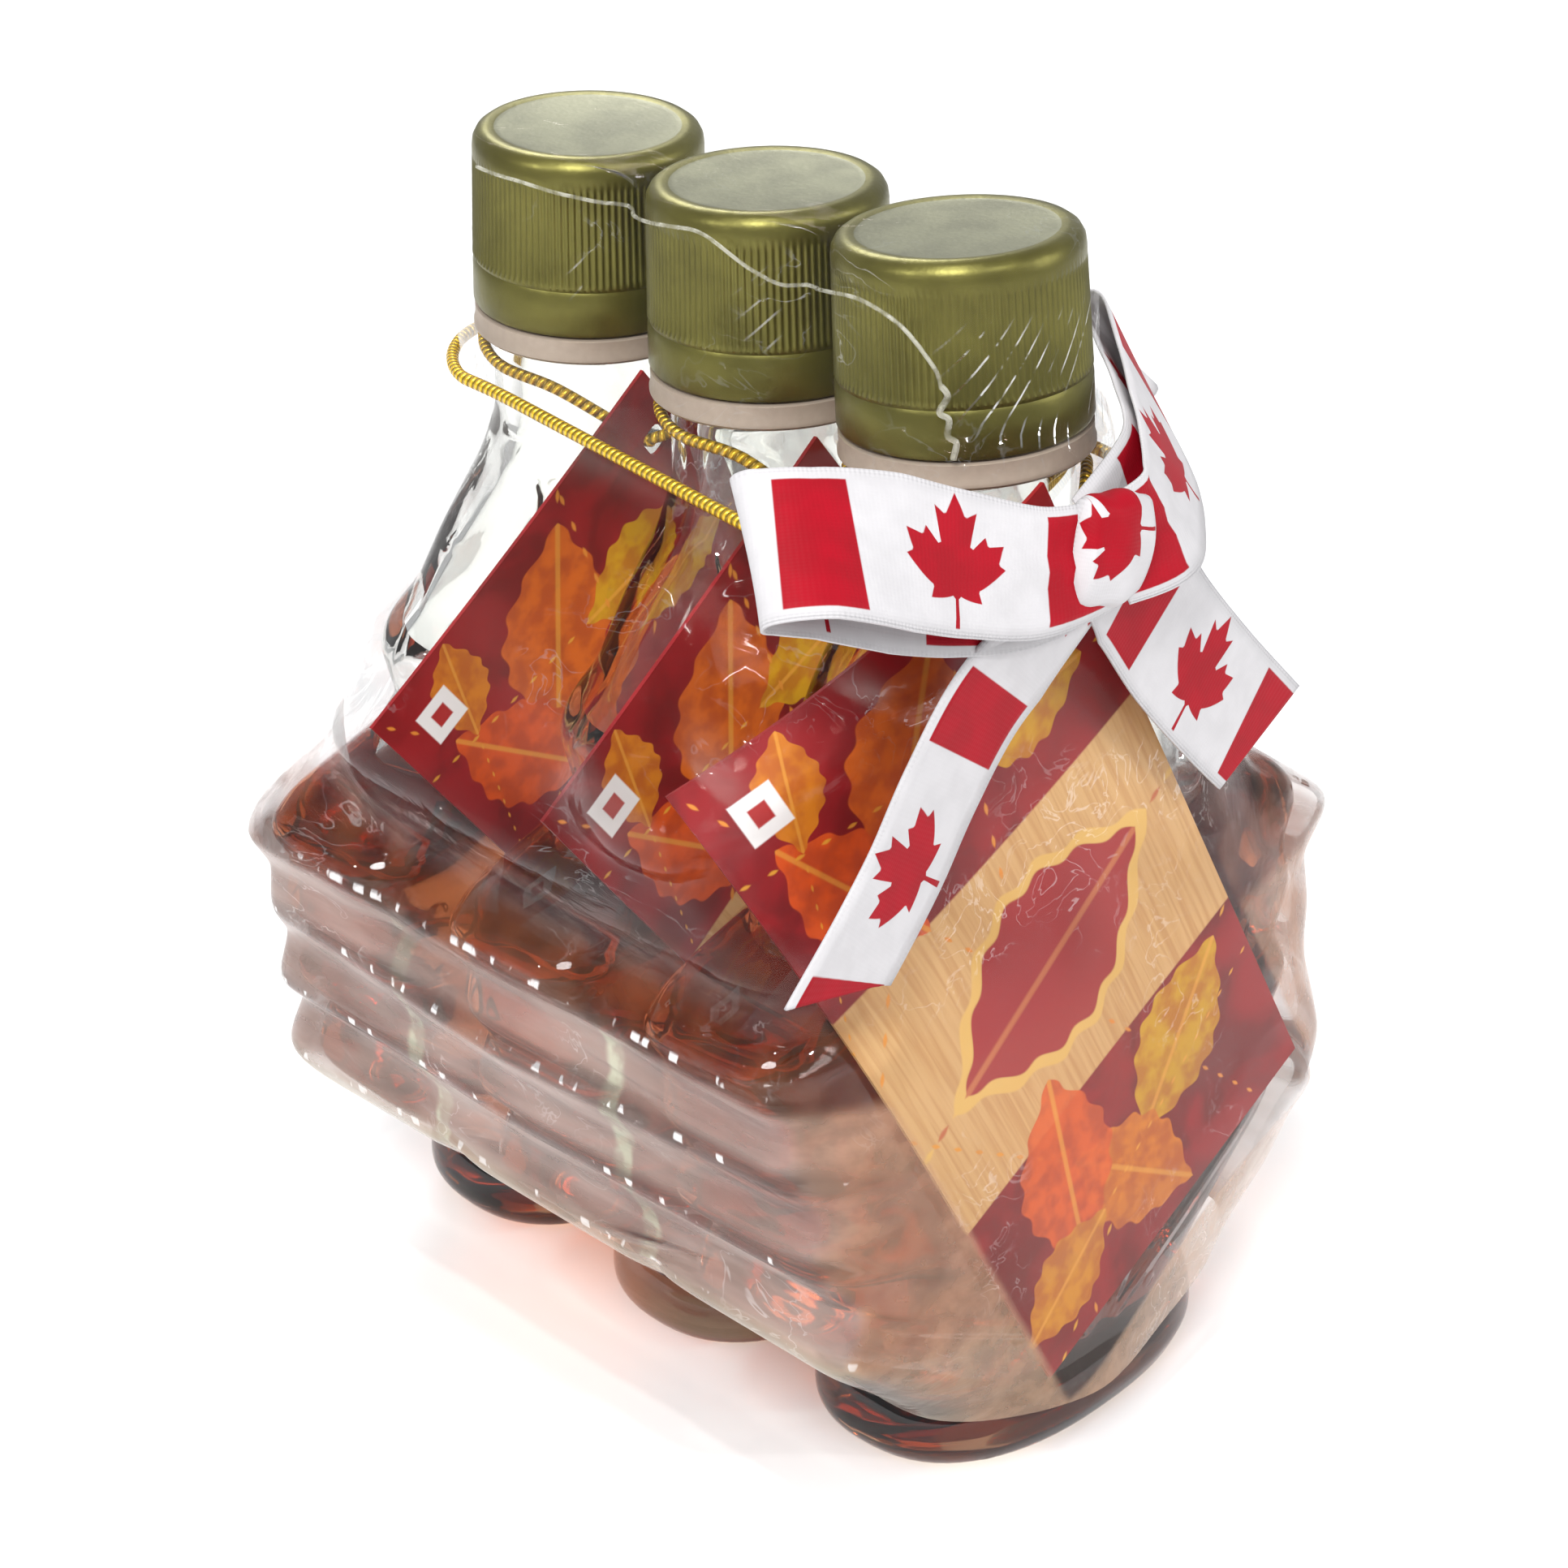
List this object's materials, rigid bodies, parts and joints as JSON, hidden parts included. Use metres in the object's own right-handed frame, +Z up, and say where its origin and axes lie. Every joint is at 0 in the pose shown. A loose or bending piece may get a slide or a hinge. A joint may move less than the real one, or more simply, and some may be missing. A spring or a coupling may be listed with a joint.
{
  "type": "maple syrup bottle gift pack",
  "caption": "Leaf-shaped glass bottles of syrup with metal screw caps and hanging cards, wrapped upright in clear shrink film and tied with a ribbon bow",
  "frame": {"origin": "On the floor under the middle bottle's foot", "axes": "X across the leaf shape, Y from the front bottle (-Y) to the back one (+Y), Z up"},
  "size_m": [0.0905, 0.091, 0.1163],
  "materials": {
    "glass": "clear, moulded leaf surface",
    "syrup": "clear dark amber liquid",
    "cap": "olive gold satin, fine upright knurling",
    "tamper_ring": "beige gold satin",
    "card": "coated printed card in red and tan fields",
    "elastic": "metallic gold thread round an elastic core",
    "ribbon": "white satin with red bars and leaves",
    "film": "clear shrink film, wrinkled and hazy at the sides"
  },
  "bodies": {
    "root": {"bottle_front": "glass", "syrup_front": "syrup", "cap_front": "cap", "tamper_ring_front": "tamper_ring", "card_front": "card", "card_cord_front": "elastic", "bottle_middle": "glass", "syrup_middle": "syrup", "cap_middle": "cap", "tamper_ring_middle": "tamper_ring", "card_middle": "card", "card_cord_middle": "elastic", "bottle_back": "glass", "syrup_back": "syrup", "cap_back": "cap", "tamper_ring_back": "tamper_ring", "card_back": "card", "card_cord_back": "elastic", "film": "film", "bow_cord": "elastic", "ribbon_bow": "ribbon"}
  },
  "joints": []
}
